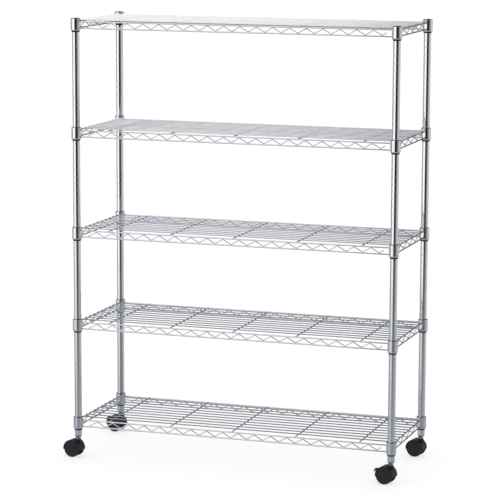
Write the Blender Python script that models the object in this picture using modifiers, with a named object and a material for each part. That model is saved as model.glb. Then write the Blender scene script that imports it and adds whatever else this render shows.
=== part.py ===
"""Chrome wire shelving rack: five welded wire shelves on four posts, on twin-wheel swivel casters.

Metres, +Z up. +X runs along the shelves and -Y is the front. The origin is on the floor, under the
middle of the rack's bounding box.
"""

import math

import bmesh
import bpy
from mathutils import Matrix, Vector

RACK = "wire_shelving_rack"
INCH = 0.0254
GAP = 0.0003

# Rack: the posts stand at the corners, and each step is the rise from one shelf to the next.
POST_SPACING_X = 1.159
POST_SPACING_Y = 0.414
FOOT_HEIGHT = 0.069
LOWEST_SHELF_ABOVE_FOOT = 0.0775
SHELF_STEPS = (14 * INCH, 13 * INCH, 14 * INCH, 15 * INCH)

# Posts, the caps on them and the inserts in their lower ends
POST_RADIUS = 0.0127
POST_WALL = 0.0012
CAP_RIM = 0.0015
CAP_PLUG = 0.012
INSERT_FLANGE = 0.011
INSERT_END_RADIUS = 0.0075
INSERT_DEPTH = 0.040

# Collars welded to the shelves, wider inside at the bottom, and the split sleeves that wedge in them
COLLAR_HEIGHT = 0.042
COLLAR_RADIUS = 0.0173
COLLAR_BORE_TOP = 0.0144
COLLAR_BORE_BOTTOM = 0.0157
COLLAR_FOOT_HEIGHT = 0.003
COLLAR_FOOT_RADIUS = 0.0162
SLEEVE_RISE = 0.0014
SLEEVE_LIP_HEIGHT = 0.0042
SLEEVE_LIP_RADIUS = 0.0141
SLEEVE_SLIT = 0.0012

# Shelf wires, all square in section, with a radius out to the corners of the square. A drop is the
# depth of a wire's centre line below the collar's top edge.
RAIL_RADIUS = 0.0025
TOP_RAIL_DROP = 0.011
BOTTOM_RAIL_DROP = 0.034
RAIL_END_IN_COLLAR = 0.0155
DECK_WIRE_COUNT = 10
DECK_WIRE_RADIUS = 0.00257
DECK_WIRE_OVERHANG = 0.002
CROSS_WIRE_COUNT = 5
CROSS_WIRE_RADIUS = 0.0023
CROSS_WIRE_END = 0.0008
TRUSS_RADIUS = 0.0019
WELD = 0.0006
LONG_TRUSS_PEAKS = 18
LONG_TRUSS_FIRST_TROUGH = 0.044
LONG_TRUSS_LAST_TROUGH = 0.052
SIDE_TRUSS_PEAKS = 4
SIDE_TRUSS_END_TROUGH = 0.047

# Casters: the swivel axis is the post's axis, and heights are above the floor.
CASTER_HEADING = math.radians(170)
TRAIL = 0.0185
WHEEL_RADIUS = 0.030
WHEEL_WIDTH = 0.0135
WHEEL_EDGE = 0.0018
WHEEL_BORE_DEPTH = 0.011
AXLE_RADIUS = 0.003
HOOD_RADIUS = 0.0325
HOOD_SHELL = 0.0018
HOOD_WIDTH = 0.044
HOOD_SKIRT = math.radians(8)
WEB_WIDTH = 0.016
HUB_RADIUS = 0.012
HUB_ARC = (math.radians(225), math.radians(315))
STEM_RADIUS = 0.005
STEM_RISE = 0.030
NECK_RADIUS = 0.0067
PIN_RADIUS = 0.004
SEAT_HEIGHT = 0.048
BOSS_HEIGHT = 0.0665
BOSS_RADIUS = 0.0098
BOSS_EDGE = 0.0014
PIN_END_HEIGHT = 0.036

# Brake levers, on two casters at opposite corners
BRAKED = ("front_right", "rear_left")
LEVER_PIVOT_RADIUS = 0.0245
LEVER_PIVOT_ANGLE = math.radians(33)
LEVER_WIDTH = 0.012
LEVER_EYE_RADIUS = 0.0042
LEVER_EYE_ARC = (math.radians(60), math.radians(300))
LEVER_REACH = 0.0180
LEVER_THICKNESS = 0.0036
LEVER_PAD_UP = 0.003
LEVER_PAD_DOWN = 0.009
LEVER_PAD_LEAN = 0.004
LEVER_ANGLE = math.radians(10)
LEVER_SWING = math.radians(24)
TRUNNION_RADIUS = 0.0015
TRUNNION_LENGTH = 0.0150
POCKET_WIDTH = 0.013
POCKET_SPARE = math.radians(16)

ROUND_STEPS = 12
WHEEL_STEPS = 16
ARC_STEP = math.radians(18)
SMOOTH_ANGLE = math.radians(40)
MERGE = 0.00001


def clear_scene():
    for obj in list(bpy.data.objects):
        bpy.data.objects.remove(obj)


def make_collection(name):
    collection = bpy.data.collections.new(name)
    bpy.context.scene.collection.children.link(collection)
    return collection


def make_material(name, colour, roughness, metallic):
    material = bpy.data.materials.new(name)
    material.use_nodes = True
    shader = material.node_tree.nodes["Principled BSDF"]
    shader.inputs["Base Color"].default_value = (*colour, 1.0)
    shader.inputs["Roughness"].default_value = roughness
    shader.inputs["Metallic"].default_value = metallic
    return material


def scratch_object(name, data):
    """An object that a shape is worked out on, and that freeze() or combine() takes away again."""
    obj = bpy.data.objects.new(name, data)
    bpy.context.scene.collection.objects.link(obj)
    return obj


def freeze(obj):
    """Turns an object with its modifiers into a plain mesh in world space, and removes the object."""
    bpy.context.view_layer.update()
    mesh = bpy.data.meshes.new_from_object(obj.evaluated_get(bpy.context.evaluated_depsgraph_get()))
    mesh.transform(obj.matrix_world)
    bpy.data.objects.remove(obj)
    bm = bmesh.new()
    bm.from_mesh(mesh)
    bmesh.ops.remove_doubles(bm, verts=bm.verts, dist=MERGE)
    bm.to_mesh(mesh)
    bm.free()
    return mesh


def wires(name, paths, radius, tilt=0.0):
    """Straight-sided wires of square section, one for each path; a tilt of 45 degrees lays them flat."""
    curve = bpy.data.curves.new(name, "CURVE")
    curve.dimensions = "3D"
    curve.bevel_depth = radius
    curve.bevel_resolution = 0
    curve.use_fill_caps = True
    for path in paths:
        spline = curve.splines.new("POLY")
        spline.points.add(len(path) - 1)
        for point, place in zip(spline.points, path):
            point.co = (*place, 1.0)
            point.tilt = tilt
    return freeze(scratch_object(name, curve))


def turned(name, profile, ring=False, steps=ROUND_STEPS):
    """Turns a profile of (radius, height) points about Z; a ring's last point joins its first."""
    count = len(profile)
    edges = [(i, i + 1) for i in range(count - 1)]
    if ring:
        edges.append((count - 1, 0))
    mesh = bpy.data.meshes.new(name)
    mesh.from_pydata([(radius, 0.0, height) for radius, height in profile], edges, [])
    obj = scratch_object(name, mesh)
    screw = obj.modifiers.new("turn", "SCREW")
    screw.steps = steps
    screw.render_steps = steps
    screw.use_merge_vertices = True
    screw.merge_threshold = MERGE
    return freeze(obj)


def plate(name, outline, width):
    """A flat outline of (x, z) points, extruded along Y to the given width."""
    curve = bpy.data.curves.new(name, "CURVE")
    curve.dimensions = "2D"
    curve.fill_mode = "BOTH"
    curve.extrude = width / 2
    spline = curve.splines.new("POLY")
    spline.points.add(len(outline) - 1)
    for point, (x, z) in zip(spline.points, outline):
        point.co = (x, z, 0.0, 1.0)
    spline.use_cyclic_u = True
    obj = scratch_object(name, curve)
    obj.rotation_euler = (math.pi / 2, 0.0, 0.0)
    return freeze(obj)


def combine(base, tools, operation):
    """Joins closed meshes to a base mesh, or cuts them out of it, one after another."""
    obj = scratch_object("combine", base)
    helpers = []
    for tool in tools:
        helper = scratch_object("tool", tool)
        helpers.append(helper)
        boolean = obj.modifiers.new("combine", "BOOLEAN")
        boolean.operation = operation
        boolean.solver = "EXACT"
        boolean.object = helper
    mesh = freeze(obj)
    for helper in helpers:
        bpy.data.objects.remove(helper)
    return mesh


def place(collection, name, mesh, material, location=(0.0, 0.0, 0.0), parent=None, turn=(0.0, 0.0, 0.0)):
    """Makes one named sub-part from a mesh, which other sub-parts may share."""
    if not mesh.materials:
        mesh.materials.append(material)
        mesh.shade_smooth()
        mesh.set_sharp_from_angle(angle=SMOOTH_ANGLE)
    obj = bpy.data.objects.new(name, mesh)
    obj.location = location
    obj.rotation_euler = turn
    obj.parent = parent
    collection.objects.link(obj)
    return obj


def arc(centre, radius, start, end):
    """Points along a circular arc, its ends included."""
    count = max(1, math.ceil(abs(end - start) / ARC_STEP))
    angles = [start + (end - start) * i / count for i in range(count + 1)]
    return [(centre[0] + radius * math.cos(a), centre[1] + radius * math.sin(a)) for a in angles]


def corners():
    """The four post axes, by name."""
    sides = {"left": -POST_SPACING_X / 2, "right": POST_SPACING_X / 2}
    ends = {"front": -POST_SPACING_Y / 2, "rear": POST_SPACING_Y / 2}
    return {f"{end}_{side}": (sides[side], ends[end]) for end in ends for side in sides}


def shelf_heights():
    """Heights of the collars' top edges, from the lowest shelf up."""
    heights = [FOOT_HEIGHT + LOWEST_SHELF_ABOVE_FOOT]
    for step in SHELF_STEPS:
        heights.append(heights[-1] + step)
    return heights


# Shelf


def truss(length, first_trough, last_trough, peaks):
    """The zigzag between the two rails of one side, as (distance along the side, height) points."""
    pitch = (length - first_trough - last_trough) / peaks
    rail_gap = BOTTOM_RAIL_DROP - TOP_RAIL_DROP - 2 * RAIL_RADIUS
    mitre = TRUSS_RADIUS / math.cos(math.atan2(rail_gap, pitch / 2))
    peak = -TOP_RAIL_DROP - RAIL_RADIUS + WELD - mitre
    trough = -BOTTOM_RAIL_DROP + RAIL_RADIUS - WELD + mitre
    start = first_trough - length / 2
    return [(start + pitch * i / 2, peak if i % 2 else trough) for i in range(2 * peaks + 1)]


def collar_mesh(x, y):
    profile = (
        (COLLAR_RADIUS, 0.0),
        (COLLAR_RADIUS, COLLAR_FOOT_HEIGHT - COLLAR_HEIGHT),
        (COLLAR_FOOT_RADIUS, -COLLAR_HEIGHT),
        (COLLAR_BORE_BOTTOM, -COLLAR_HEIGHT),
        (COLLAR_BORE_TOP, 0.0),
    )
    mesh = turned("collar", profile, ring=True)
    mesh.transform(Matrix.Translation((x, y, 0.0)))
    return mesh


def shelf_mesh():
    """One welded shelf: rails and trusses round the edge, deck wires along it, cross wires below them."""
    half_x = POST_SPACING_X / 2
    half_y = POST_SPACING_Y / 2
    rails_along = []
    rails_across = []
    for drop in (TOP_RAIL_DROP, BOTTOM_RAIL_DROP):
        taper = (COLLAR_BORE_BOTTOM - COLLAR_BORE_TOP) * (drop - TOP_RAIL_DROP) / COLLAR_HEIGHT
        end_x = half_x - RAIL_END_IN_COLLAR - taper
        end_y = half_y - RAIL_END_IN_COLLAR - taper
        for side in (-1, 1):
            rails_along.append([(-end_x, side * half_y, -drop), (end_x, side * half_y, -drop)])
            rails_across.append([(side * half_x, -end_y, -drop), (side * half_x, end_y, -drop)])

    flat = DECK_WIRE_RADIUS * math.cos(math.pi / 4)
    deck_underside = -TOP_RAIL_DROP + RAIL_RADIUS - WELD
    deck_pitch = POST_SPACING_Y / (DECK_WIRE_COUNT + 1)
    deck_end = half_x + DECK_WIRE_OVERHANG
    deck = []
    for i in range(DECK_WIRE_COUNT):
        y = -half_y + deck_pitch * (i + 1)
        deck.append([(-deck_end, y, deck_underside + flat), (deck_end, y, deck_underside + flat)])

    cross_height = deck_underside - GAP - CROSS_WIRE_RADIUS
    cross_pitch = POST_SPACING_X / CROSS_WIRE_COUNT
    cross_end = half_y - CROSS_WIRE_END
    cross = []
    for i in range(CROSS_WIRE_COUNT):
        x = -half_x + cross_pitch * (i + 0.5)
        cross.append([(x, -cross_end, cross_height), (x, cross_end, cross_height)])

    long_truss = truss(
        POST_SPACING_X, LONG_TRUSS_FIRST_TROUGH, LONG_TRUSS_LAST_TROUGH, LONG_TRUSS_PEAKS
    )
    side_truss = truss(POST_SPACING_Y, SIDE_TRUSS_END_TROUGH, SIDE_TRUSS_END_TROUGH, SIDE_TRUSS_PEAKS)
    long_trusses = [[(x, side * half_y, z) for x, z in long_truss] for side in (-1, 1)]
    side_trusses = [[(side * half_x, y, z) for y, z in side_truss] for side in (-1, 1)]

    joined = [
        wires("cross_wires", cross, CROSS_WIRE_RADIUS),
        wires("rails_across", rails_across, RAIL_RADIUS),
        wires("deck_wires", deck, DECK_WIRE_RADIUS, tilt=math.pi / 4),
        wires("long_trusses", long_trusses, TRUSS_RADIUS),
        wires("side_trusses", side_trusses, TRUSS_RADIUS),
    ]
    for x, y in corners().values():
        joined.append(collar_mesh(x, y))
    return combine(wires("rails_along", rails_along, RAIL_RADIUS), joined, "UNION")


def sleeve_mesh():
    """A split sleeve: a wedge-shaped ring, a little longer than its collar, slit down one side."""
    top = COLLAR_BORE_TOP - GAP
    bottom = COLLAR_BORE_BOTTOM - GAP
    bore = POST_RADIUS + GAP
    lip = -COLLAR_HEIGHT
    profile = (
        (top, SLEEVE_RISE),
        (top, 0.0),
        (bottom, lip),
        (SLEEVE_LIP_RADIUS, lip),
        (SLEEVE_LIP_RADIUS, lip - SLEEVE_LIP_HEIGHT),
        (bore, lip - SLEEVE_LIP_HEIGHT),
        (bore, SLEEVE_RISE),
    )
    ring = turned("sleeve", profile, ring=True)
    high = 2 * SLEEVE_RISE
    low = lip - 2 * SLEEVE_LIP_HEIGHT
    reach = 2 * SLEEVE_LIP_RADIUS
    outline = [(0.0, high), (reach, high), (reach, low), (0.0, low)]
    slit = plate("slit", outline, SLEEVE_SLIT)
    slit.transform(Matrix.Rotation(math.pi / ROUND_STEPS, 4, "Z"))
    return combine(ring, [slit], "DIFFERENCE")


# Posts


def post_mesh(length):
    inner = POST_RADIUS - POST_WALL
    profile = ((POST_RADIUS, length), (POST_RADIUS, 0.0), (inner, 0.0), (inner, length))
    return turned("post", profile, ring=True)


def cap_mesh():
    plug = POST_RADIUS - POST_WALL - GAP
    edge = CAP_RIM / 2
    profile = (
        (0.0, CAP_RIM),
        (POST_RADIUS - edge, CAP_RIM),
        (POST_RADIUS, CAP_RIM - edge),
        (POST_RADIUS, GAP),
        (plug, GAP),
        (plug, -CAP_PLUG),
        (0.0, -CAP_PLUG),
    )
    return turned("cap", profile)


def insert_mesh():
    """The bored insert in a post's lower end, with a tapered end below the tube."""
    plug = POST_RADIUS - POST_WALL - GAP
    bore = STEM_RADIUS + GAP
    profile = (
        (plug, INSERT_FLANGE + INSERT_DEPTH),
        (plug, INSERT_FLANGE),
        (POST_RADIUS, INSERT_FLANGE),
        (INSERT_END_RADIUS, 0.0),
        (bore, 0.0),
        (bore, INSERT_FLANGE + INSERT_DEPTH),
    )
    return turned("insert", profile, ring=True)


# Casters, in a frame with Z along the swivel axis from the floor up and X towards the wheels


def stem_mesh():
    neck_top = FOOT_HEIGHT - GAP
    neck_bottom = SEAT_HEIGHT + GAP
    profile = (
        (0.0, FOOT_HEIGHT + STEM_RISE),
        (STEM_RADIUS, FOOT_HEIGHT + STEM_RISE),
        (STEM_RADIUS, neck_top),
        (NECK_RADIUS, neck_top),
        (NECK_RADIUS, neck_bottom),
        (PIN_RADIUS, neck_bottom),
        (PIN_RADIUS, PIN_END_HEIGHT),
        (0.0, PIN_END_HEIGHT),
    )
    return turned("stem", profile)


def stem_bore_mesh():
    above = HOOD_RADIUS + WHEEL_RADIUS + NECK_RADIUS
    profile = (
        (0.0, above),
        (NECK_RADIUS + GAP, above),
        (NECK_RADIUS + GAP, SEAT_HEIGHT),
        (PIN_RADIUS + GAP, SEAT_HEIGHT),
        (PIN_RADIUS + GAP, PIN_END_HEIGHT - GAP),
        (0.0, PIN_END_HEIGHT - GAP),
    )
    return turned("stem_bore", profile)


def boss_mesh():
    """The hood's upright boss round the stem's neck, clear of the wheels below it."""
    profile = (
        (0.0, BOSS_HEIGHT),
        (BOSS_RADIUS - BOSS_EDGE, BOSS_HEIGHT),
        (BOSS_RADIUS, BOSS_HEIGHT - BOSS_EDGE),
        (BOSS_RADIUS, SEAT_HEIGHT),
        (0.0, SEAT_HEIGHT),
    )
    axle = (TRAIL, WHEEL_RADIUS)
    wheel_room = crosswise_rod("wheel_room", HOOD_RADIUS - HOOD_SHELL / 2, HOOD_WIDTH, *axle)
    return combine(turned("boss", profile), [wheel_room], "DIFFERENCE")


def crosswise_rod(name, radius, length, x, z):
    """A round rod along Y, its middle at (x, z)."""
    profile = ((0.0, length / 2), (radius, length / 2), (radius, -length / 2), (0.0, -length / 2))
    mesh = turned(name, profile)
    mesh.transform(Matrix.Translation((x, 0.0, z)) @ Matrix.Rotation(math.pi / 2, 4, "X"))
    return mesh


def lever_pivot():
    return (
        TRAIL + LEVER_PIVOT_RADIUS * math.cos(LEVER_PIVOT_ANGLE),
        WHEEL_RADIUS + LEVER_PIVOT_RADIUS * math.sin(LEVER_PIVOT_ANGLE),
    )


def lever_pocket_mesh():
    """The room that the brake lever swings in: round its eye, and a wedge out through the hood."""
    pivot = lever_pivot()
    eye = LEVER_EYE_RADIUS + 2 * GAP
    opening = LEVER_ANGLE + POCKET_SPARE
    closing = LEVER_ANGLE - LEVER_SWING - POCKET_SPARE
    outline = arc(pivot, eye, opening + LEVER_EYE_ARC[0], closing + LEVER_EYE_ARC[1])
    for angle in (closing, opening):
        x = pivot[0] + LEVER_REACH * math.cos(angle)
        z = pivot[1] + LEVER_REACH * math.sin(angle)
        outline.append((x, z))
    return plate("lever_pocket", outline, POCKET_WIDTH)


def hood_mesh(braked):
    """The caster's body: a web between the wheels, a hood over them and a boss, bored for stem and axle."""
    axle = (TRAIL, WHEEL_RADIUS)
    start = -HOOD_SKIRT
    end = math.pi + HOOD_SKIRT
    inner = HOOD_RADIUS - HOOD_SHELL
    shell = arc(axle, HOOD_RADIUS, start, end) + arc(axle, inner, end, start)
    outline = arc(axle, HOOD_RADIUS - HOOD_SHELL / 2, start, end)
    outline += arc(axle, HUB_RADIUS, *HUB_ARC)
    web = plate("web", outline, WEB_WIDTH)
    body = combine(plate("shell", shell, HOOD_WIDTH), [web, boss_mesh()], "UNION")
    cuts = [stem_bore_mesh(), crosswise_rod("axle_bore", AXLE_RADIUS + GAP, HOOD_WIDTH, *axle)]
    if braked:
        cuts.append(lever_pocket_mesh())
        cuts.append(crosswise_rod("pivot_bore", TRUNNION_RADIUS + GAP, HOOD_WIDTH, *lever_pivot()))
    return combine(body, cuts, "DIFFERENCE")


def lever_mesh():
    """A brake lever about its own pivot: an eye with trunnions, and an arm with a pad that leans out."""
    eye = arc((0.0, 0.0), LEVER_EYE_RADIUS, *LEVER_EYE_ARC)
    half = LEVER_THICKNESS / 2
    arm = [
        (LEVER_REACH - half, -half),
        (LEVER_REACH + LEVER_PAD_LEAN - half, -LEVER_PAD_DOWN),
        (LEVER_REACH + LEVER_PAD_LEAN + half, -LEVER_PAD_DOWN),
        (LEVER_REACH + half, LEVER_PAD_UP - half),
        (LEVER_REACH, LEVER_PAD_UP),
        (LEVER_REACH - half, half),
    ]
    body = plate("lever", eye + arm, LEVER_WIDTH)
    trunnions = crosswise_rod("trunnions", TRUNNION_RADIUS, TRUNNION_LENGTH, 0.0, 0.0)
    mesh = combine(body, [trunnions], "UNION")
    mesh.transform(Matrix.Rotation(-LEVER_ANGLE, 4, "Y"))
    return mesh


def wheel_mesh():
    """A wheel with its inner face at the origin, its width along +Z and a blind bore for the axle."""
    edge = WHEEL_RADIUS - WHEEL_EDGE
    bore = AXLE_RADIUS + GAP
    profile = (
        (0.0, WHEEL_WIDTH),
        (edge, WHEEL_WIDTH),
        (WHEEL_RADIUS, WHEEL_WIDTH - WHEEL_EDGE),
        (WHEEL_RADIUS, WHEEL_EDGE),
        (edge, 0.0),
        (bore, 0.0),
        (bore, WHEEL_BORE_DEPTH),
        (0.0, WHEEL_BORE_DEPTH),
    )
    return turned("wheel", profile, steps=WHEEL_STEPS)


# The rack


def place_casters(parts, origin, metal, plastic):
    stem = stem_mesh()
    wheel = wheel_mesh()
    lever = lever_mesh()
    hoods = {braked: hood_mesh(braked) for braked in (False, True)}
    axle_length = WEB_WIDTH + 2 * (WHEEL_BORE_DEPTH - GAP)
    axle = crosswise_rod("axle", AXLE_RADIUS, axle_length, 0.0, 0.0)
    wheel_face = HOOD_WIDTH / 2 - WHEEL_WIDTH
    for corner, (x, y) in corners().items():
        swivel = bpy.data.objects.new(f"swivel_{corner}", None)
        swivel.location = (x, y, 0.0)
        swivel.rotation_euler = (0.0, 0.0, CASTER_HEADING)
        swivel.parent = origin
        parts.objects.link(swivel)
        place(parts, f"caster_stem_{corner}", stem, metal, (x, y, 0.0), origin)
        place(parts, f"caster_hood_{corner}", hoods[corner in BRAKED], plastic, parent=swivel)
        hub = (TRAIL, 0.0, WHEEL_RADIUS)
        place(parts, f"caster_axle_{corner}", axle, metal, hub, swivel)
        for side, sign in (("a", -1), ("b", 1)):
            seat = (TRAIL, sign * wheel_face, WHEEL_RADIUS)
            turn = (-sign * math.pi / 2, 0.0, 0.0)
            place(parts, f"caster_wheel_{corner}_{side}", wheel, plastic, seat, swivel, turn)
        if corner in BRAKED:
            pivot_x, pivot_z = lever_pivot()
            place(parts, f"brake_lever_{corner}", lever, plastic, (pivot_x, 0.0, pivot_z), swivel)


def centre_on_floor(origin, parts):
    """Moves the whole rack so that the middle of its bounding box is over the origin."""
    bpy.context.view_layer.update()
    meshes = [obj for obj in parts.objects if obj.type == "MESH"]
    points = [obj.matrix_world @ vertex.co for obj in meshes for vertex in obj.data.vertices]
    low = Vector([min(p[axis] for p in points) for axis in range(3)])
    high = Vector([max(p[axis] for p in points) for axis in range(3)])
    middle = (low + high) / 2
    origin.location = (-middle.x, -middle.y, -low.z)
    bpy.context.view_layer.update()


def build():
    clear_scene()
    parts = make_collection(RACK)
    chrome = make_material("chrome", (0.78, 0.79, 0.80), 0.12, 1.0)
    zinc = make_material("zinc", (0.62, 0.63, 0.65), 0.35, 1.0)
    black = make_material("black_plastic", (0.02, 0.02, 0.025), 0.45, 0.0)

    origin = bpy.data.objects.new("rack_origin", None)
    parts.objects.link(origin)

    heights = shelf_heights()
    foot = FOOT_HEIGHT + INSERT_FLANGE + GAP
    post = post_mesh(heights[-1] - foot)
    cap = cap_mesh()
    insert = insert_mesh()
    shelf = shelf_mesh()
    sleeve = sleeve_mesh()

    for corner, (x, y) in corners().items():
        place(parts, f"post_{corner}", post, chrome, (x, y, foot), origin)
        place(parts, f"post_cap_{corner}", cap, black, (x, y, heights[-1]), origin)
        place(parts, f"post_insert_{corner}", insert, zinc, (x, y, FOOT_HEIGHT), origin)
    for level, height in enumerate(heights, start=1):
        place(parts, f"shelf_{level}", shelf, chrome, (0.0, 0.0, height), origin)
        for corner, (x, y) in corners().items():
            place(parts, f"split_sleeve_{level}_{corner}", sleeve, black, (x, y, height), origin)
    place_casters(parts, origin, zinc, black)
    centre_on_floor(origin, parts)


build()
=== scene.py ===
"""The look of the chrome wire shelving rack: round grooved posts, welded wire shelves, split sleeves,
twin-wheel casters, and a white studio. Metres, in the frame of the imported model."""

import math

import bmesh
import bpy
from mathutils import Matrix, Vector


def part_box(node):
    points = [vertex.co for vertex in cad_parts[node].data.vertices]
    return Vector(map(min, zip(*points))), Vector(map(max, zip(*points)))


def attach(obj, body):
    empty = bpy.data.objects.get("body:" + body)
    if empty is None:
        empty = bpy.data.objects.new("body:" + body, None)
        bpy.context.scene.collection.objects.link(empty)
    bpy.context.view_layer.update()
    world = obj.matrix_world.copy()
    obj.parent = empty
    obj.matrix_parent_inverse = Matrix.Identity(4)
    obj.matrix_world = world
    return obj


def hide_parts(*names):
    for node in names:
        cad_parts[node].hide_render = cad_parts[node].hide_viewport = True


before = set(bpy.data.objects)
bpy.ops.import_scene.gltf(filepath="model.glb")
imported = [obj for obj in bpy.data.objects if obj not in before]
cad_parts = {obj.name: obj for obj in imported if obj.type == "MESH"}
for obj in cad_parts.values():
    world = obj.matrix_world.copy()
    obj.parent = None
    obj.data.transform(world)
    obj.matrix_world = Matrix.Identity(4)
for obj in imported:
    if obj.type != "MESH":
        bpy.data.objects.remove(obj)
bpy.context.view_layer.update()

CORNERS = ("front_left", "front_right", "rear_left", "rear_right")
LEVELS = (1, 2, 3, 4, 5)

# Posts: a groove every inch, counted from the middle of the top collar
POST_RADIUS = 0.0127
POST_FOOT_CHAMFER = (0.0006, 0.0005)
POST_TOP_CHAMFER = 0.0004
POST_SEGMENTS = 40
GROOVE_PITCH = 0.0254
GROOVE_HALF_WIDTH = 0.0008
GROOVE_DEPTH = 0.0004
GROOVE_SHAPE = ((-1.0, 0.0), (-0.5, 0.62), (0.0, 1.0), (0.5, 0.62), (1.0, 0.0))

# Plugs in the tubes' upper ends
CAP_PLUG_RADIUS = 0.0114
CAP_PLUG_DEPTH = 0.012
CAP_RISE = 0.0015
CAP_RECESS_RADIUS = 0.0075
CAP_RECESS_DEPTH = 0.0005

# Collars and sleeves
COLLAR_HEIGHT = 0.042
COLLAR_RADIUS = 0.0173
COLLAR_BORE_TOP = 0.0144
COLLAR_BORE_BOTTOM = 0.0157
COLLAR_EDGE = 0.0006
COLLAR_FOOT_HEIGHT = 0.003
COLLAR_FOOT_RADIUS = 0.0162
SLEEVE_GAP = 0.0001
SLEEVE_RISE = 0.0014
SLEEVE_TOP_EDGE = 0.0003
SLEEVE_LIP_HEIGHT = 0.0052
SLEEVE_LIP_RADIUS = 0.0141
SLEEVE_LIP_EDGE = 0.0004
SLEEVE_SEAM = math.radians(2.5)

# How finely round things are made, and how close a long flat step's extra points are to its ends
ROUND_SEGMENTS = 48
SUPPORT = 0.00025

# Shelf wires. The drops are from the collars' top edges to the rails' centre lines
RAIL_RADIUS = 0.0025
TOP_RAIL_DROP = 0.011
BOTTOM_RAIL_DROP = 0.034
DECK_RADIUS = 0.00205
DECK_COUNT = 10
CROSS_RADIUS = 0.0022
CROSS_COUNT = 5
WIRE_SIDES = 14

# Truss wires. The troughs are the bends on the lower rail, the first and last so far from the post's axis
TRUSS_RADIUS = 0.0019
TRUSS_BEND = 0.007
TRUSS_SIDES = 12
LONG_PEAKS = 18
LONG_FIRST_TROUGH = 0.044
LONG_LAST_TROUGH = 0.052
SIDE_PEAKS = 4
SIDE_END_TROUGH = 0.047

# How far welded wires sink into each other, and the weld beads' half sizes across, along and above a wire
WELD = 0.0005
RAIL_BEAD = (RAIL_RADIUS * 1.35, RAIL_RADIUS * 0.8, RAIL_RADIUS * 1.35)
CROSS_BEAD = (CROSS_RADIUS * 0.75, DECK_RADIUS * 1.1, WELD * 1.6)
SIDE_BEAD = (RAIL_RADIUS * 0.75, DECK_RADIUS * 1.1, WELD * 1.6)
TRUSS_BEAD = (TRUSS_RADIUS, TRUSS_RADIUS * 1.9, WELD * 1.8)

# Material slots in a shelf's mesh, after the plain chrome in slot 0. Both hold painted shade, darker
# copies of the chrome
DECK_PAINTED_SHADE_SLOT = 1
CROSS_PAINTED_SHADE_SLOT = 2

# Painted shade in the deck wires' chrome at each level: the lower a shelf stands, the darker and bluer its
# deck is painted, though every deck is the same chrome
DECK_PAINTED_SHADE_COLOURS = {
    1: (0.36, 0.375, 0.425),
    2: (0.46, 0.48, 0.53),
    3: (0.63, 0.645, 0.70),
    4: (0.92, 0.91, 0.94),
    5: (1.0, 1.0, 1.0),
}
DECK_TINT = 0.94

# Foot inserts, which swell from a narrow end to the tube's width and plug into it
INSERT_END_RADIUS = 0.0075
INSERT_FLANGE = 0.011
INSERT_SWELL = math.radians(70)
INSERT_STEPS = 6
INSERT_BORE = 0.0055
INSERT_PLUG_RADIUS = 0.0113
INSERT_PLUG_HEIGHT = 0.0395

# Caster stems, heights above the floor
STEM_FOOT = 0.0365
STEM_FOOT_RADIUS = 0.0040
STEM_RADIUS = 0.0050
NECK_FOOT = 0.0485
NECK_RADIUS = 0.0067
NECK_EDGE = 0.0005
NECK_GAP = 0.0003

# Casters. They trail this far behind their stems, in this direction round from +X
TRAIL = 0.0185
CASTER_HEADING = math.radians(170)
WHEEL_RADIUS = 0.030
WHEEL_WIDTH = 0.0135
WHEEL_SEGMENTS = 72
HOOD_RADIUS = 0.0325
HOOD_SHELL = 0.0018
HOOD_WIDTH = 0.044
HOOD_SKIRT = math.radians(8)
HOOD_BEVEL = 0.0007
WEB_WIDTH = 0.0158
WEB_BEVEL = 0.0006
HUB_RADIUS = 0.012
BOSS_HEIGHT = 0.0665
BOSS_RADIUS = 0.0098

# Brake lever: its slot in the hood's shell, its pivot as a distance and angle from the axle, and its
# outline as (out, up) from the pivot, before the whole lever is turned up by its angle
LEVER_SLOT_ENDS = (math.radians(4), math.radians(52))
LEVER_SLOT_HALF_WIDTH = 0.0066
LEVER_REACH = 0.0245
LEVER_PLACE = math.radians(33)
LEVER_ANGLE = math.radians(10)
LEVER_WIDTH = 0.012
LEVER_EYE_RADIUS = 0.0042
LEVER_UNDERSIDE = ((0.0162, -0.0018), (0.0200, -0.0086), (0.0212, -0.0091))
LEVER_PAD = ((0.0236, -0.0086), (0.0204, 0.0004))
LEVER_TOP = ((0.0192, 0.0028), (0.0178, 0.0031), (0.0158, 0.0019))
RIB_COUNT = 3
RIB_RADIUS = 0.0006
RIB_WIDTH = 0.0096

# Camera, measured from the middle of the top shelf's upper edge
CAMERA_LENS = 170.1
CAMERA_OFFSET = Vector((2.613, -7.851, 0.508))
CAMERA_YAW = math.radians(18.43)
CAMERA_PITCH = math.radians(9.10)
CAMERA_ROLL = math.radians(0.26)


# Mesh building


def finish_mesh(name, bm, sharp=35):
    """Makes a smooth-shaded mesh. Edges sharper than an angle stay crisp, and many-sided faces flat."""
    bmesh.ops.recalc_face_normals(bm, faces=bm.faces)
    mesh = bpy.data.meshes.new(name)
    bm.to_mesh(mesh)
    bm.free()
    mesh.shade_smooth()
    mesh.set_sharp_from_angle(angle=math.radians(sharp))
    for face in mesh.polygons:
        face.use_smooth = len(face.vertices) < 5
    return mesh


def supported(profile, ring):
    """Adds a point close to each end of a profile's long steps, so that they stay flat when shaded."""
    ends = list(zip(profile, profile[1:]))
    if ring:
        ends.append((profile[-1], profile[0]))
    points = []
    for low, high in ends:
        low = Vector(low)
        high = Vector(high)
        length = (high - low).length
        points.append(tuple(low))
        if length > 5 * SUPPORT:
            points.append(tuple(low.lerp(high, SUPPORT / length)))
            points.append(tuple(low.lerp(high, 1 - SUPPORT / length)))
    if not ring:
        points.append(profile[-1])
    return points


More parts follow.
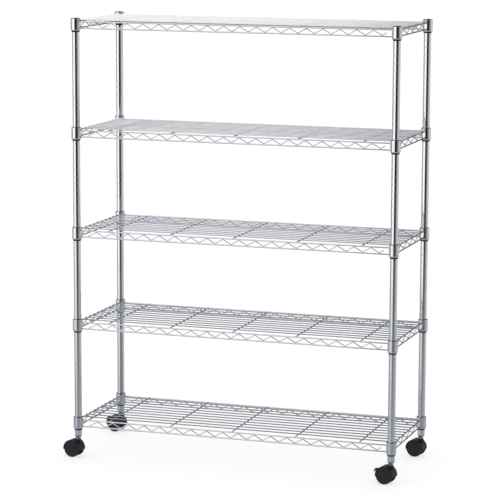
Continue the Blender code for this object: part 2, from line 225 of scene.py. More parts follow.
def skin(bm, rings, loop=False):
    """Joins rings of equal length with quads, and either fills the two end rings or joins them too."""
    pairs = list(zip(rings, rings[1:]))
    if loop:
        pairs.append((rings[-1], rings[0]))
    for low, high in pairs:
        count = len(low)
        for i in range(count):
            j = (i + 1) % count
            bm.faces.new((low[i], low[j], high[j], high[i]))
    if not loop:
        bm.faces.new(rings[0])
        bm.faces.new(rings[-1])


def revolve(bm, profile, segments=ROUND_SEGMENTS, matrix=None, ring=False):
    """Turns (radius, height) points about Z. A ring's profile is closed; else its ends are filled."""
    matrix = matrix or Matrix.Identity(4)
    rings = []
    for radius, height in supported(profile, ring):
        circle = []
        for i in range(segments):
            angle = 2 * math.pi * i / segments
            place = Vector((radius * math.cos(angle), radius * math.sin(angle), height))
            circle.append(bm.verts.new(matrix @ place))
        rings.append(circle)
    skin(bm, rings, loop=ring)


def sector(bm, profile, start, end, segments):
    """Turns a closed profile about Z between two angles, and fills its two ends."""
    rings = []
    for i in range(segments + 1):
        angle = start + (end - start) * i / segments
        turned = []
        for radius, height in supported(profile, True):
            turned.append(bm.verts.new((radius * math.cos(angle), radius * math.sin(angle), height)))
        rings.append(turned)
    skin(bm, rings)


def wire(bm, path, radius, sides=WIRE_SIDES):
    """A round wire along a path in one plane, with domed ends."""
    path = [Vector(p) for p in path]
    tangents = []
    for i, point in enumerate(path):
        before = path[max(i - 1, 0)]
        after = path[min(i + 1, len(path) - 1)]
        tangents.append((after - before).normalized())
    normal = tangents[0].orthogonal().normalized()
    stations = []
    dome = [math.radians(a) for a in (75, 50, 25)]
    for a in dome:
        tip = path[0] - tangents[0] * radius * math.sin(a)
        stations.append((tip, tangents[0], radius * math.cos(a)))
    for point, tangent in zip(path, tangents):
        stations.append((point, tangent, radius))
    for a in reversed(dome):
        tip = path[-1] + tangents[-1] * radius * math.sin(a)
        stations.append((tip, tangents[-1], radius * math.cos(a)))
    rings = []
    for centre, tangent, r in stations:
        normal = (normal - tangent * normal.dot(tangent)).normalized()
        other = tangent.cross(normal)
        ring = []
        for i in range(sides):
            angle = 2 * math.pi * i / sides
            ring.append(bm.verts.new(centre + (normal * math.cos(angle) + other * math.sin(angle)) * r))
        rings.append(ring)
    skin(bm, rings)


def nugget(bm, centre, size):
    """A small weld: a ball squashed to the given half sizes."""
    scale = Matrix.Diagonal((*size, 1.0))
    bmesh.ops.create_icosphere(bm, subdivisions=2, radius=1.0, matrix=Matrix.Translation(centre) @ scale)


def plate(bm, outline, width, bevel=0.0, offset=0.0):
    """A flat outline of (x, z) points given a width along Y, with the rims of its two faces rounded."""
    front = [bm.verts.new((x, offset - width / 2, z)) for x, z in outline]
    back = [bm.verts.new((x, offset + width / 2, z)) for x, z in outline]
    faces = [bm.faces.new(front), bm.faces.new(list(reversed(back)))]
    rims = [edge for face in faces for edge in face.edges]
    count = len(outline)
    for i in range(count):
        j = (i + 1) % count
        bm.faces.new((front[j], front[i], back[i], back[j]))
    if bevel:
        bmesh.ops.bevel(bm, geom=rims, offset=bevel, segments=2, profile=0.5, affect="EDGES")


def arc(centre, radius, start, end, step=math.radians(5)):
    """Points on an arc about a centre, no further apart than a step."""
    count = max(1, math.ceil(abs(end - start) / step))
    angles = [start + (end - start) * i / count for i in range(count + 1)]
    return [(centre[0] + radius * math.cos(a), centre[1] + radius * math.sin(a)) for a in angles]


def rounded(points, radius):
    """A zigzag of (distance, height) points with each inner corner turned into an arc."""
    path = [points[0]]
    for before, corner, after in zip(points, points[1:], points[2:]):
        a = (Vector(before) - Vector(corner)).normalized()
        b = (Vector(after) - Vector(corner)).normalized()
        half = a.angle(b) / 2
        reach = radius / math.tan(half)
        middle = Vector(corner) + (a + b).normalized() * radius / math.sin(half)
        start = Vector(corner) + a * reach - middle
        end = Vector(corner) + b * reach - middle
        for i in range(5):
            t = i / 4
            direction = (start * (1 - t) + end * t).normalized()
            path.append(tuple(middle + direction * radius))
    path.append(points[-1])
    return path


# Materials


def new_material(name, colour, roughness, metallic):
    """A material with one surface shader, its node tree's parts ready for more nodes."""
    material = bpy.data.materials.new(name)
    material.use_nodes = True
    nodes = material.node_tree.nodes
    shader = nodes["Principled BSDF"]
    shader.inputs["Base Color"].default_value = (*colour, 1.0)
    shader.inputs["Roughness"].default_value = roughness
    shader.inputs["Metallic"].default_value = metallic
    return material, nodes, material.node_tree.links, shader


def texture(nodes, links, kind, scale, **settings):
    """A texture node read in the object's own coordinates."""
    where = nodes.new("ShaderNodeTexCoord")
    node = nodes.new(kind)
    node.inputs["Scale"].default_value = scale
    for key, value in settings.items():
        node.inputs[key].default_value = value
    links.new(where.outputs["Object"], node.inputs["Vector"])
    return node


def spread(nodes, links, source, low, high, from_low=0.3, from_high=0.7):
    """Maps a texture's value to a range of numbers."""
    node = nodes.new("ShaderNodeMapRange")
    node.inputs["From Min"].default_value = from_low
    node.inputs["From Max"].default_value = from_high
    node.inputs["To Min"].default_value = low
    node.inputs["To Max"].default_value = high
    links.new(source, node.inputs["Value"])
    return node.outputs["Result"]


def blend_colours(nodes, links, factor, first, second):
    """Goes from one colour to another over the middle of a node's output."""
    ramp = nodes.new("ShaderNodeValToRGB")
    ramp.color_ramp.elements[0].position = 0.35
    ramp.color_ramp.elements[0].color = (*first, 1.0)
    ramp.color_ramp.elements[1].position = 0.65
    ramp.color_ramp.elements[1].color = (*second, 1.0)
    links.new(factor, ramp.inputs["Fac"])
    return ramp.outputs["Color"]


def mix_colours(nodes, links, factor, first, second):
    """Mixes two colours, each a tuple or another node's output, by a node's output."""
    node = nodes.new("ShaderNodeMix")
    node.data_type = "RGBA"
    sockets = {socket.identifier: socket for socket in node.inputs}
    links.new(factor, sockets["Factor_Float"])
    for name, value in (("A_Color", first), ("B_Color", second)):
        if isinstance(value, tuple):
            sockets[name].default_value = (*value, 1.0)
        else:
            links.new(value, sockets[name])
    return next(socket for socket in node.outputs if socket.identifier == "Result_Color")


def add_bump(nodes, links, shader, height, strength, distance):
    """Roughens a surface's shading by a texture's value."""
    bump = nodes.new("ShaderNodeBump")
    bump.inputs["Strength"].default_value = strength
    bump.inputs["Distance"].default_value = distance
    links.new(height, bump.inputs["Height"])
    links.new(bump.outputs["Normal"], shader.inputs["Normal"])


def chrome_material(name, colour, tint, rough_low, rough_high):
    """Bright plating: faint clouding, a fine grain, and a slightly uneven polish."""
    material, nodes, links, shader = new_material(name, colour, rough_low, 1.0)
    cloud = texture(nodes, links, "ShaderNodeTexNoise", 22.0, Detail=4.0)
    fine = texture(nodes, links, "ShaderNodeTexNoise", 900.0, Detail=3.0)
    links.new(blend_colours(nodes, links, cloud.outputs["Fac"], colour, tint), shader.inputs["Base Color"])
    polish = spread(nodes, links, cloud.outputs["Fac"], rough_low, rough_high)
    links.new(polish, shader.inputs["Roughness"])
    add_bump(nodes, links, shader, fine.outputs["Fac"], 0.06, 0.0002)
    return material


def zinc_material():
    """Plated steel: a satin finish with the small crystals of the plating."""
    colour = (0.60, 0.62, 0.66)
    pale = (0.70, 0.72, 0.75)
    material, nodes, links, shader = new_material("plated_steel", colour, 0.3, 1.0)
    cells = texture(nodes, links, "ShaderNodeTexVoronoi", 420.0)
    cloud = texture(nodes, links, "ShaderNodeTexNoise", 60.0, Detail=5.0)
    links.new(blend_colours(nodes, links, cloud.outputs["Fac"], colour, pale), shader.inputs["Base Color"])
    polish = spread(nodes, links, cells.outputs["Distance"], 0.2, 0.36, 0.0, 0.6)
    links.new(polish, shader.inputs["Roughness"])
    add_bump(nodes, links, shader, cells.outputs["Distance"], 0.08, 0.0002)
    return material


def plastic_material(name, colour, worn, rough_low, rough_high, grain):
    """Black moulded plastic: a fine moulded grain, with paler handling marks in patches."""
    material, nodes, links, shader = new_material(name, colour, rough_low, 0.0)
    shader.inputs["Specular IOR Level"].default_value = 0.36
    patch = texture(nodes, links, "ShaderNodeTexNoise", 38.0, Detail=6.0, Roughness=0.6)
    skin_grain = texture(nodes, links, "ShaderNodeTexVoronoi", grain)
    links.new(blend_colours(nodes, links, patch.outputs["Fac"], colour, worn), shader.inputs["Base Color"])
    polish = spread(nodes, links, patch.outputs["Fac"], rough_low, rough_high)
    links.new(polish, shader.inputs["Roughness"])
    add_bump(nodes, links, shader, skin_grain.outputs["Distance"], 0.18, 0.0003)
    return material


# Pieces


def show(name, mesh, material, body, replaced, matrix):
    """Puts one piece in the scene, on its body, in place of its CAD node."""
    if not mesh.materials:
        mesh.materials.append(material)
    piece = bpy.data.objects.new(name, mesh)
    bpy.context.scene.collection.objects.link(piece)
    piece.matrix_world = matrix
    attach(piece, body)
    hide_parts(replaced)


def middle(node):
    """The middle of a CAD node's box."""
    low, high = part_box(node)
    return (low + high) / 2


def post_mesh(length, first_groove):
    """A tube with rolled grooves; heights run from the tube's lower end."""
    in_step, up_step = POST_FOOT_CHAMFER
    profile = [(POST_RADIUS - in_step, 0.0), (POST_RADIUS, up_step)]
    height = first_groove
    while height < length - GROOVE_HALF_WIDTH * 2:
        for offset, depth in GROOVE_SHAPE:
            radius = POST_RADIUS - GROOVE_DEPTH * depth
            profile.append((radius, height + offset * GROOVE_HALF_WIDTH))
        height += GROOVE_PITCH
    profile.append((POST_RADIUS, length - POST_TOP_CHAMFER))
    profile.append((POST_RADIUS - POST_TOP_CHAMFER, length))
    bm = bmesh.new()
    revolve(bm, profile, POST_SEGMENTS)
    return finish_mesh("post_tube", bm, 60)


def collar(bm, x, y):
    """A collar round a post: a straight sleeve with a tapered bore and a narrower foot."""
    edge = COLLAR_EDGE
    foot = COLLAR_FOOT_HEIGHT
    profile = [
        (COLLAR_BORE_TOP, -edge / 2),
        (COLLAR_BORE_TOP + edge / 2, 0.0),
        (COLLAR_RADIUS - edge, 0.0),
        (COLLAR_RADIUS - edge * 0.3, -edge * 0.3),
        (COLLAR_RADIUS, -edge),
        (COLLAR_RADIUS, -COLLAR_HEIGHT + foot * 1.3),
        (COLLAR_RADIUS - edge * 0.2, -COLLAR_HEIGHT + foot * 0.8),
        (COLLAR_RADIUS - edge, -COLLAR_HEIGHT + foot * 0.3),
        (COLLAR_FOOT_RADIUS, -COLLAR_HEIGHT),
        (COLLAR_BORE_BOTTOM, -COLLAR_HEIGHT + edge / 3),
    ]
    revolve(bm, profile, matrix=Matrix.Translation((x, y, 0.0)), ring=True)


def zigzag(length, first_trough, last_trough, peaks):
    """The corners of a truss wire, as (distance, height), far enough out for its bends to be rounded."""
    pitch = (length - first_trough - last_trough) / peaks
    peak = -TOP_RAIL_DROP - RAIL_RADIUS - TRUSS_RADIUS + WELD
    trough = -BOTTOM_RAIL_DROP + RAIL_RADIUS + TRUSS_RADIUS - WELD
    slope = math.atan2(peak - trough, pitch / 2)
    spare = TRUSS_BEND * (1 / math.cos(slope) - 1)
    start = first_trough - length / 2
    points = []
    for i in range(2 * peaks + 1):
        height = peak + spare if i % 2 else trough - spare
        points.append((start + pitch * i / 2, height))
    points[0] = (points[0][0], trough)
    points[-1] = (points[-1][0], trough)
    return points


def tail(points):
    """Half of one more rising length after the last trough of a zigzag."""
    (x0, z0), (x1, z1) = points[-2:]
    return (x1 + (x1 - x0) / 2, z1 + (z0 - z1) / 2)


def paint(bm, first, slot):
    """Puts every face from the given one onwards in a material slot."""
    bm.faces.ensure_lookup_table()
    for face in bm.faces[first:]:
        face.material_index = slot


def add_rails(bm, half_x, half_y):
    """Two rails on each side between the collars, with a weld bead at each end."""
    inset = (COLLAR_RADIUS + COLLAR_BORE_BOTTOM) / 2
    across, along, up = RAIL_BEAD
    for drop in (TOP_RAIL_DROP, BOTTOM_RAIL_DROP):
        for side in (-1, 1):
            y = side * half_y
            x = side * half_x
            wire(bm, [(-half_x + inset, y, -drop), (half_x - inset, y, -drop)], RAIL_RADIUS)
            first = len(bm.faces)
            wire(bm, [(x, -half_y + inset, -drop), (x, half_y - inset, -drop)], RAIL_RADIUS)
            # Painted shade: the side rails take the cross wires' darker chrome
            paint(bm, first, CROSS_PAINTED_SHADE_SLOT)
            for end in (-1, 1):
                nugget(bm, (end * (half_x - COLLAR_RADIUS), y, -drop), (along, across, up))
                nugget(bm, (x, end * (half_y - COLLAR_RADIUS), -drop), (across, along, up))


def add_deck(bm, span_x, span_y):
    """The long deck wires, the cross wires under them, and a weld wherever two wires meet."""
    half_x = span_x / 2
    half_y = span_y / 2
    deck_height = -TOP_RAIL_DROP + RAIL_RADIUS + DECK_RADIUS - WELD
    cross_height = deck_height - DECK_RADIUS - CROSS_RADIUS + WELD
    deck_rows = [-half_y + span_y * (i + 1) / (DECK_COUNT + 1) for i in range(DECK_COUNT)]
    cross_rows = [-half_x + span_x * (i + 0.5) / CROSS_COUNT for i in range(CROSS_COUNT)]
    first = len(bm.faces)
    for y in deck_rows:
        wire(bm, [(-half_x, y, deck_height), (half_x, y, deck_height)], DECK_RADIUS)
    # Painted shade: the deck wires take their level's darker chrome
    paint(bm, first, DECK_PAINTED_SHADE_SLOT)
    first = len(bm.faces)
    for x in cross_rows:
        wire(bm, [(x, -half_y, cross_height), (x, half_y, cross_height)], CROSS_RADIUS)
    # Painted shade: the cross wires under the deck take a darker chrome
    paint(bm, first, CROSS_PAINTED_SHADE_SLOT)
    joint = deck_height - DECK_RADIUS + WELD / 2
    for y in deck_rows:
        for x in cross_rows:
            nugget(bm, (x, y, joint), CROSS_BEAD)
        for x in (-half_x, half_x):
            nugget(bm, (x, y, joint), SIDE_BEAD)


def add_trusses(bm, span_x, span_y):
    """A zigzag wire between the two rails of each side, welded to them at every bend."""
    across, along, up = TRUSS_BEAD
    trusses = (
        (zigzag(span_x, LONG_FIRST_TROUGH, LONG_LAST_TROUGH, LONG_PEAKS), span_y / 2, False),
        (zigzag(span_y, SIDE_END_TROUGH, SIDE_END_TROUGH, SIDE_PEAKS), span_x / 2, True),
    )
    for points, offset, crosswise in trusses:
        ends = [] if crosswise else [tail(points)]
        path = rounded(points + ends, TRUSS_BEND)
        for side in (-offset, offset):
            if crosswise:
                places = [(side, distance, height) for distance, height in path]
                welds = [(side, distance) for distance, _ in points]
                size = (across, along, up)
            else:
                places = [(distance, side, height) for distance, height in path]
                welds = [(distance, side) for distance, _ in points]
                size = (along, across, up)
            wire(bm, places, TRUSS_RADIUS, TRUSS_SIDES)
            for i, (x, y) in enumerate(welds):
                height = -TOP_RAIL_DROP - RAIL_RADIUS if i % 2 else -BOTTOM_RAIL_DROP + RAIL_RADIUS
                nugget(bm, (x, y, height), size)


def shelf_mesh(span_x, span_y):
    """One welded shelf, its origin in the middle of the plane of its collars' top edges."""
    bm = bmesh.new()
    half_x = span_x / 2
    half_y = span_y / 2
    add_rails(bm, half_x, half_y)
    add_deck(bm, span_x, span_y)
    add_trusses(bm, span_x, span_y)
    for x in (-half_x, half_x):
        for y in (-half_y, half_y):
            collar(bm, x, y)
    return finish_mesh("welded_shelf", bm, 50)


def sleeve_mesh():
    """The two halves of a split sleeve, with a seam between them on each side."""
    top = COLLAR_BORE_TOP - SLEEVE_GAP
    bottom = COLLAR_BORE_BOTTOM - SLEEVE_GAP
    bore = POST_RADIUS + SLEEVE_GAP
    lip = -COLLAR_HEIGHT - SLEEVE_GAP
    under = lip - SLEEVE_LIP_HEIGHT
    profile = [
        (top - SLEEVE_TOP_EDGE, SLEEVE_RISE),
        (top, SLEEVE_RISE - SLEEVE_TOP_EDGE),
        (top, 0.0),
        (bottom, lip),
        (SLEEVE_LIP_RADIUS, lip),
        (SLEEVE_LIP_RADIUS, under + SLEEVE_LIP_EDGE),
        (SLEEVE_LIP_RADIUS - SLEEVE_LIP_EDGE, under),
        (bore, under),
        (bore, SLEEVE_RISE),
    ]
    bm = bmesh.new()
    for start in (0.0, math.pi):
        sector(bm, profile, start + SLEEVE_SEAM, start + math.pi - SLEEVE_SEAM, ROUND_SEGMENTS // 2)
    return finish_mesh("split_sleeve_halves", bm, 40)


def cap_mesh():
    """A plug with a low rounded rim and a shallow recess; heights run from the tube's upper end."""
    profile = [
        (CAP_PLUG_RADIUS - 0.0002, -CAP_PLUG_DEPTH),
        (CAP_PLUG_RADIUS, 0.0),
        (POST_RADIUS - 0.0001, CAP_RISE - 0.0013),
        (POST_RADIUS, CAP_RISE - 0.0009),
        (POST_RADIUS - 0.0003, CAP_RISE - 0.0004),
        (POST_RADIUS - 0.0010, CAP_RISE - 0.0001),
        (CAP_RECESS_RADIUS, CAP_RISE),
        (CAP_RECESS_RADIUS - 0.0005, CAP_RISE - 0.0004),
        (0.0004, CAP_RISE - CAP_RECESS_DEPTH),
    ]
    bm = bmesh.new()
    revolve(bm, profile)
    return finish_mesh("post_cap", bm)


def insert_mesh():
    """The tapered end below the tube; heights run up from its lower face."""
    edge = 0.0004
    profile = [(INSERT_BORE, edge / 2), (INSERT_END_RADIUS - edge, 0.0), (INSERT_END_RADIUS, edge)]
    swell = POST_RADIUS - INSERT_END_RADIUS - 0.0001
    for i in range(INSERT_STEPS + 1):
        share = i / INSERT_STEPS
        radius = INSERT_END_RADIUS + swell * math.sin(INSERT_SWELL * share) / math.sin(INSERT_SWELL)
        profile.append((radius, 0.0010 + (INSERT_FLANGE - 0.0015) * share))
    profile += [
        (POST_RADIUS, INSERT_FLANGE),
        (INSERT_PLUG_RADIUS, INSERT_FLANGE + 0.0001),
        (INSERT_PLUG_RADIUS, INSERT_FLANGE + INSERT_PLUG_HEIGHT),
        (INSERT_BORE, INSERT_FLANGE + INSERT_PLUG_HEIGHT),
    ]
    bm = bmesh.new()
    revolve(bm, profile, ring=True)
    return finish_mesh("foot_insert", bm)


def stem_mesh(foot, rise):
    """Neck, washer and stem on the swivel axis; heights run up from the floor."""
    under = foot - NECK_GAP
    profile = [
        (STEM_FOOT_RADIUS - 0.0002, STEM_FOOT),
        (STEM_FOOT_RADIUS, STEM_FOOT + 0.0005),
        (STEM_FOOT_RADIUS, NECK_FOOT),
        (NECK_RADIUS - NECK_EDGE, NECK_FOOT),
        (NECK_RADIUS, NECK_FOOT + NECK_EDGE),
        (NECK_RADIUS, under - 0.0005),
        (NECK_RADIUS - 0.0004, under),
        (STEM_RADIUS, under),
        (STEM_RADIUS, rise - 0.0006),
        (STEM_RADIUS - 0.0006, rise),
    ]
    bm = bmesh.new()
    revolve(bm, profile)
    return finish_mesh("caster_stem", bm)


def boss_ring(bm, axle):
    """The boss round the neck, its lower edge lying on the curve of the hood's shell."""
    rings = []
    inner = NECK_RADIUS + 0.0002
    top = (
        (inner, BOSS_HEIGHT - 0.0004),
        (inner + 0.0004, BOSS_HEIGHT),
        (BOSS_RADIUS - 0.0014, BOSS_HEIGHT),
        (BOSS_RADIUS - 0.0004, BOSS_HEIGHT - 0.0005),
        (BOSS_RADIUS, BOSS_HEIGHT - 0.0015),
    )
    for i in range(ROUND_SEGMENTS):
        angle = 2 * math.pi * i / ROUND_SEGMENTS
        ring = []
        for radius, height in top:
            ring.append(bm.verts.new((radius * math.cos(angle), radius * math.sin(angle), height)))
        for radius in (BOSS_RADIUS, inner):
            x = radius * math.cos(angle)
            foot = axle[1] + math.sqrt((HOOD_RADIUS - HOOD_SHELL / 2) ** 2 - (x - axle[0]) ** 2)
            ring.append(bm.verts.new((x, radius * math.sin(angle), foot)))
        rings.append(ring)
    skin(bm, rings, loop=True)


def hood_mesh(braked):
    """The caster's body about its swivel axis: hood shell, web between the wheels, and boss."""
    axle = (TRAIL, WHEEL_RADIUS)
    start = -HOOD_SKIRT
    end = math.pi + HOOD_SKIRT
    inner = HOOD_RADIUS - HOOD_SHELL

    def shell(first, last):
        return arc(axle, HOOD_RADIUS, first, last) + arc(axle, inner, last, first)

    bm = bmesh.new()
    if braked:
        low, high = LEVER_SLOT_ENDS
        plate(bm, shell(start, low), HOOD_WIDTH, HOOD_BEVEL)
        plate(bm, shell(high, end), HOOD_WIDTH, HOOD_BEVEL)
        cheek = HOOD_WIDTH / 2 - LEVER_SLOT_HALF_WIDTH
        for side in (-1, 1):
            plate(bm, shell(low, high), cheek, 0.0, side * (LEVER_SLOT_HALF_WIDTH + cheek / 2))
    else:
        plate(bm, shell(start, end), HOOD_WIDTH, HOOD_BEVEL)
    outline = arc(axle, HOOD_RADIUS - HOOD_SHELL / 2, start, end)
    outline += arc(axle, HUB_RADIUS, math.radians(225), math.radians(315))
    plate(bm, outline, WEB_WIDTH, WEB_BEVEL)
    boss_ring(bm, axle)
    return finish_mesh("caster_hood_braked" if braked else "caster_hood", bm, 30)


def wheel_mesh():
    """A wheel about Z, from its inner face up to its outer one, with a stepped disc and a hub cap."""
    inner_round = 0.0022
    outer_round = 0.0028
    shoulder = WHEEL_WIDTH - 0.0002
    quarter = [math.radians(90 * i / 5) for i in range(6)]
    # The bore, the hub's inner face, and the shallow recess round it
    profile = [(0.0034, 0.0), (0.0080, 0.0), (0.0085, 0.0012), (0.0225, 0.0012), (0.0232, 0.0)]
    profile += [(WHEEL_RADIUS - inner_round, 0.0)]
    for angle in quarter[1:]:
        radius = WHEEL_RADIUS - inner_round + inner_round * math.sin(angle)
        profile.append((radius, inner_round - inner_round * math.cos(angle)))
    for angle in quarter:
        radius = WHEEL_RADIUS - outer_round + outer_round * math.cos(angle)
        profile.append((radius, shoulder - outer_round + outer_round * math.sin(angle)))
    # As depths below the outer face: the step inside the tread, the disc, and the rings of the hub cap
    face = [(WHEEL_RADIUS - 0.0048, 0.0004), (WHEEL_RADIUS - 0.0055, 0.0016)]
    face += [(0.0165, 0.0022), (0.0158, 0.0010), (0.0100, 0.0006)]
    face += [(0.0092, 0.0014), (0.0084, 0.0014), (0.0078, 0.0004)]
    face += [(0.0050, 0.0001), (0.0004, 0.0)]
    profile += [(radius, WHEEL_WIDTH - depth) for radius, depth in face]
    bm = bmesh.new()
    revolve(bm, profile, WHEEL_SEGMENTS)
    return finish_mesh("caster_wheel", bm, 28)


def lever_mesh():
    """The brake lever about its pivot, with a hooked pad and raised grip ribs along it."""
    bm = bmesh.new()
    eye = arc((0.0, 0.0), LEVER_EYE_RADIUS, math.radians(60), math.radians(300), math.radians(12))
    plate(bm, eye + list(LEVER_UNDERSIDE + LEVER_PAD + LEVER_TOP), LEVER_WIDTH, HOOD_BEVEL)
    pad_low, pad_high = (Vector(end) for end in LEVER_PAD)
    for i in range(RIB_COUNT):
        spot = pad_low.lerp(pad_high, (i + 1) / (RIB_COUNT + 1))
        rib = arc(spot, RIB_RADIUS, 0.0, math.radians(315), math.radians(45))
        plate(bm, rib, RIB_WIDTH)
    bmesh.ops.transform(bm, matrix=Matrix.Rotation(-LEVER_ANGLE, 4, "Y"), verts=bm.verts)
    return finish_mesh("brake_lever", bm, 30)


# Build


def rack_materials():
    """The materials that the frame and the casters share, by name."""
    chrome = chrome_material
    black = plastic_material
    return {
        "tube": chrome("chrome_tube", (0.80, 0.81, 0.81), (0.77, 0.78, 0.785), 0.03, 0.06),
        "wire": chrome("chrome_wire", (0.78, 0.785, 0.79), (0.73, 0.74, 0.75), 0.06, 0.12),
        # Painted shade: a darker copy of the wire chrome for the cross wires and side rails
        "cross": chrome("cross_wire_painted_shade", (0.42, 0.43, 0.46), (0.38, 0.39, 0.42), 0.06, 0.12),
        "plated": zinc_material(),
        "nylon": black("black_nylon", (0.006, 0.006, 0.008), (0.011, 0.011, 0.013), 0.42, 0.6, 1500.0),
        "hood": black(
            "caster_plastic", (0.0052, 0.0046, 0.0092), (0.0095, 0.0085, 0.0145), 0.44, 0.6, 1100.0
        ),
        "wheel": black(
            "wheel_nylon", (0.0066, 0.0058, 0.0108), (0.0125, 0.0115, 0.0180), 0.48, 0.66, 900.0
        ),
    }


def build_shelves(axes, tops, looks):
    """One welded mesh for all five shelves. Its cross wires and side rails get a darker copy of the chrome
    as painted shade, and each level's deck wires get a painted shade of their own.
    """
    span_x = axes["front_right"].x - axes["front_left"].x
    span_y = axes["rear_left"].y - axes["front_left"].y
    centre = middle("shelf_1")
    shelf = shelf_mesh(span_x, span_y)
    for level in LEVELS:
        welded = shelf.copy()
        welded.materials.append(looks["wire"])
        # Painted shade: each level's deck chrome is darker and bluer the lower the shelf stands
        colour = DECK_PAINTED_SHADE_COLOURS[level]
        worn = [DECK_TINT * channel for channel in colour]
        welded.materials.append(chrome_material(f"deck_wire_painted_shade_{level}", colour, worn, 0.16, 0.26))
        welded.materials.append(looks["cross"])
        top = Matrix.Translation((centre.x, centre.y, tops[level]))
        show(f"shelf_{level}_wires", welded, looks["wire"], "frame", f"shelf_{level}", top)


def build_posts(axes, tops, looks):
    """Each post from its cap down to its caster's stem, with the five sleeves that wedge the shelves."""
    low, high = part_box("post_front_left")
    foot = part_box("post_insert_front_left")[0].z
    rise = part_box("caster_stem_front_left")[1].z
    first_groove = (tops[5] - COLLAR_HEIGHT / 2 - low.z) % GROOVE_PITCH
    stacked = (
        ("tube", "post", post_mesh(high.z - low.z, first_groove), "tube", "post_chrome", low.z),
        ("cap", "post_cap", cap_mesh(), "nylon", "cap_plastic", high.z),
        ("insert", "post_insert", insert_mesh(), "plated", "zinc_fitting", foot),
        ("stem", "caster_stem", stem_mesh(foot, rise), "plated", "zinc_fitting", 0.0),
    )
    sleeve = sleeve_mesh()
    for corner, axis in axes.items():
        for name, node, mesh, look, slot, height in stacked:
            up = Matrix.Translation((axis.x, axis.y, height))
            show(f"{name}_{corner}", mesh, looks[look], "frame", f"{node}_{corner}", up)
        for level in LEVELS:
            up = Matrix.Translation((axis.x, axis.y, tops[level]))
            name = f"sleeve_{level}_{corner}"
            replaced = f"split_sleeve_{level}_{corner}"
            show(name, sleeve, looks["nylon"], "frame", replaced, up)


def build_casters(axes, looks):
    """A hood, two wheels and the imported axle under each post, and a brake lever where there is one."""
    hoods = {braked: hood_mesh(braked) for braked in (False, True)}
    lever = lever_mesh()
    wheel = wheel_mesh()
    inner_face = HOOD_WIDTH / 2 - WHEEL_WIDTH
    hub = Vector((TRAIL, 0.0, WHEEL_RADIUS))
    pivot = hub + Vector((LEVER_REACH * math.cos(LEVER_PLACE), 0.0, LEVER_REACH * math.sin(LEVER_PLACE)))
    for corner, axis in axes.items():
        braked = f"brake_lever_{corner}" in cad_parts
        swivel = Matrix.Translation((axis.x, axis.y, 0.0)) @ Matrix.Rotation(CASTER_HEADING, 4, "Z")
        body = f"swivel_{corner}"
        replaced = f"caster_hood_{corner}"
        show(f"hood_{corner}", hoods[braked], looks["hood"], body, replaced, swivel)
        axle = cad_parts[f"caster_axle_{corner}"]
        axle.data.materials.clear()
        axle.data.materials.append(looks["plated"])
        for side, sign in (("a", -1), ("b", 1)):
            place = Matrix.Translation(hub + Vector((0.0, sign * inner_face, 0.0)))
            turn = Matrix.Rotation(-sign * math.pi / 2, 4, "X")
            body = f"wheel_{corner}_{side}"
            replaced = f"caster_wheel_{corner}_{side}"
            show(body, wheel, looks["wheel"], body, replaced, swivel @ place @ turn)
        if braked:
            body = f"brake_{corner}"
            replaced = f"brake_lever_{corner}"
            place = swivel @ Matrix.Translation(pivot)
            show(f"lever_{corner}", lever, looks["hood"], body, replaced, place)


def build_rack():
    axes = {corner: middle(f"post_{corner}") for corner in CORNERS}
    tops = {level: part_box(f"shelf_{level}")[1].z for level in LEVELS}
    looks = rack_materials()
    build_shelves(axes, tops, looks)
    build_posts(axes, tops, looks)
    build_casters(axes, looks)


# Studio


# What the metal sees round the studio: (degrees round from the camera's side, brightness). The walls
# give way to the sky between two heights, in degrees up
WALLS = (
    (-180, 0.20),
    (-150, 0.25),
    (-118, 0.80),
    (-106, 0.28),
    (-88, 0.30),
    (-82, 1.30),
    (-26, 1.25),
    (-20, 0.02),
    (16, 0.0),
    (26, 0.10),
    (42, 0.14),
    (50, 0.42),
    (70, 0.46),
    (84, 0.72),
    (112, 0.85),
    (150, 0.25),
    (180, 0.20),
)
SKY = (
    (-180, 0.80),
    (-110, 0.95),
    (-60, 0.95),
    (-28, 0.85),
    (-12, 0.16),
    (30, 0.10),
    (90, 0.14),
    (125, 0.50),
    (150, 0.85),
    (180, 0.80),
)
SKY_STARTS = 12
SKY_FULL = 36

# The light that everything but the metal's reflections gets from the world
DAYLIGHT = 1.10

# Layers over the walls and sky: (degrees up where each starts, and where it is full, its share, colour)
LAYERS = (
    (68, 84, 1.0, (0.55, 0.55, 0.56)),
    (-7.5, -14.5, 0.9, (0.38, 0.405, 0.455)),
    (-30, -70, 1.0, (0.26, 0.28, 0.34)),
)

# The floor lies just under the wheels, and its own faint light takes it to white
FLOOR_SIZE = 160.0
FLOOR_DROP = 0.0002
FLOOR_GREYS = ((0.33, 0.33, 0.33), (0.34, 0.34, 0.34))
FLOOR_GLOW = 0.65


def build_floor():
    """A pale paper floor, not seen in reflections."""
    bpy.ops.mesh.primitive_plane_add(size=FLOOR_SIZE, location=(0.0, 0.0, -FLOOR_DROP))
    floor = bpy.context.object
    floor.name = "studio_floor"
    material, nodes, links, shader = new_material("floor_paper", FLOOR_GREYS[0], 0.8, 0.0)
    cloud = texture(nodes, links, "ShaderNodeTexNoise", 0.6, Detail=2.0)
    links.new(blend_colours(nodes, links, cloud.outputs["Fac"], *FLOOR_GREYS), shader.inputs["Base Color"])
    shader.inputs["Emission Color"].default_value = (1.0, 1.0, 1.0, 1.0)
    shader.inputs["Emission Strength"].default_value = FLOOR_GLOW
    floor.data.materials.append(material)
    floor.visible_glossy = False


def colour_ring(nodes, links, source, stops):
    """A ramp of greys round the horizon, from stops at degrees from -180 to 180."""
    ramp = nodes.new("ShaderNodeValToRGB")
    elements = ramp.color_ramp.elements
    while len(elements) > 1:
        elements.remove(elements[-1])
    for index, (angle, value) in enumerate(stops):
        position = (angle + 180) / 360
        stop = elements[0] if index == 0 else elements.new(position)
        stop.position = position
        stop.color = (value, value, value, 1.0)
    links.new(source, ramp.inputs["Fac"])
    return ramp.outputs["Color"]


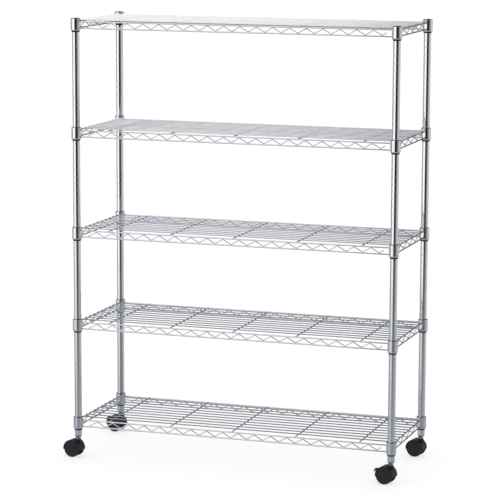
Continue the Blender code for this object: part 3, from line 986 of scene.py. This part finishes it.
def build_world():
    """White to the camera and to matt surfaces. Reflections see a banded studio and a grey floor."""
    world = bpy.data.worlds.new("studio")
    bpy.context.scene.world = world
    world.use_nodes = True
    nodes = world.node_tree.nodes
    links = world.node_tree.links
    nodes.clear()
    where = nodes.new("ShaderNodeTexCoord")
    turn = nodes.new("ShaderNodeMapping")
    turn.vector_type = "POINT"
    turn.inputs["Rotation"].default_value = (0.0, 0.0, math.pi / 2 - CAMERA_YAW)
    links.new(where.outputs["Generated"], turn.inputs["Vector"])
    split = nodes.new("ShaderNodeSeparateXYZ")
    links.new(turn.outputs["Vector"], split.inputs["Vector"])
    azimuth = nodes.new("ShaderNodeMath")
    azimuth.operation = "ARCTAN2"
    links.new(split.outputs["Y"], azimuth.inputs[0])
    links.new(split.outputs["X"], azimuth.inputs[1])
    share = nodes.new("ShaderNodeMapRange")
    share.inputs["From Min"].default_value = -math.pi
    share.inputs["From Max"].default_value = math.pi
    links.new(azimuth.outputs[0], share.inputs["Value"])

    def height_share(start, full, most):
        node = nodes.new("ShaderNodeMapRange")
        node.interpolation_type = "SMOOTHSTEP"
        node.inputs["From Min"].default_value = math.sin(math.radians(start))
        node.inputs["From Max"].default_value = math.sin(math.radians(full))
        node.inputs["To Max"].default_value = most
        links.new(split.outputs["Z"], node.inputs["Value"])
        return node.outputs["Result"]

    walls = colour_ring(nodes, links, share.outputs["Result"], WALLS)
    sky = colour_ring(nodes, links, share.outputs["Result"], SKY)
    seen = mix_colours(nodes, links, height_share(SKY_STARTS, SKY_FULL, 1.0), walls, sky)
    for start, full, most, colour in LAYERS:
        seen = mix_colours(nodes, links, height_share(start, full, most), seen, colour)
    path = nodes.new("ShaderNodeLightPath")
    by_ray = mix_colours(nodes, links, path.outputs["Is Glossy Ray"], (DAYLIGHT,) * 3, seen)
    by_ray = mix_colours(nodes, links, path.outputs["Is Camera Ray"], by_ray, (1.0, 1.0, 1.0))
    studio = nodes.new("ShaderNodeBackground")
    links.new(by_ray, studio.inputs["Color"])
    output = nodes.new("ShaderNodeOutputWorld")
    links.new(studio.outputs["Background"], output.inputs["Surface"])


def add_softbox(name, location, target, size, power):
    """A soft rectangular lamp aimed at a point, and not seen in reflections."""
    light = bpy.data.lights.new(name, "AREA")
    light.shape = "RECTANGLE"
    light.size = size[0]
    light.size_y = size[1]
    light.energy = power
    lamp = bpy.data.objects.new(name, light)
    bpy.context.scene.collection.objects.link(lamp)
    lamp.location = location
    lamp.visible_glossy = False
    lamp.rotation_euler = (Vector(target) - Vector(location)).to_track_quat("-Z", "Y").to_euler()


def build_lights():
    target = (0.0, 0.0, 0.6)
    add_softbox("softbox_top", (0.0, 0.0, 5.0), target, (6.0, 6.0), 8.0)
    add_softbox("softbox_left", (-4.0, -5.0, 3.2), target, (2.4, 2.4), 4.0)


def build_camera():
    """The camera, at a distance and angles from the middle of the top shelf."""
    low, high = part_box("shelf_5")
    centre = Vector(((low.x + high.x) / 2, (low.y + high.y) / 2, high.z))
    data = bpy.data.cameras.new("camera")
    data.lens = CAMERA_LENS
    data.sensor_width = 36.0
    data.clip_end = 400.0
    camera = bpy.data.objects.new("camera", data)
    bpy.context.scene.collection.objects.link(camera)
    turn = Matrix.Rotation(CAMERA_YAW, 4, "Z")
    tilt = Matrix.Rotation(math.pi / 2 - CAMERA_PITCH, 4, "X")
    roll = Matrix.Rotation(CAMERA_ROLL, 4, "Z")
    camera.matrix_world = Matrix.Translation(centre + CAMERA_OFFSET) @ turn @ tilt @ roll
    bpy.context.scene.camera = camera


build_rack()
build_floor()
build_world()
build_lights()
build_camera()
bpy.context.scene.view_settings.view_transform = "Standard"
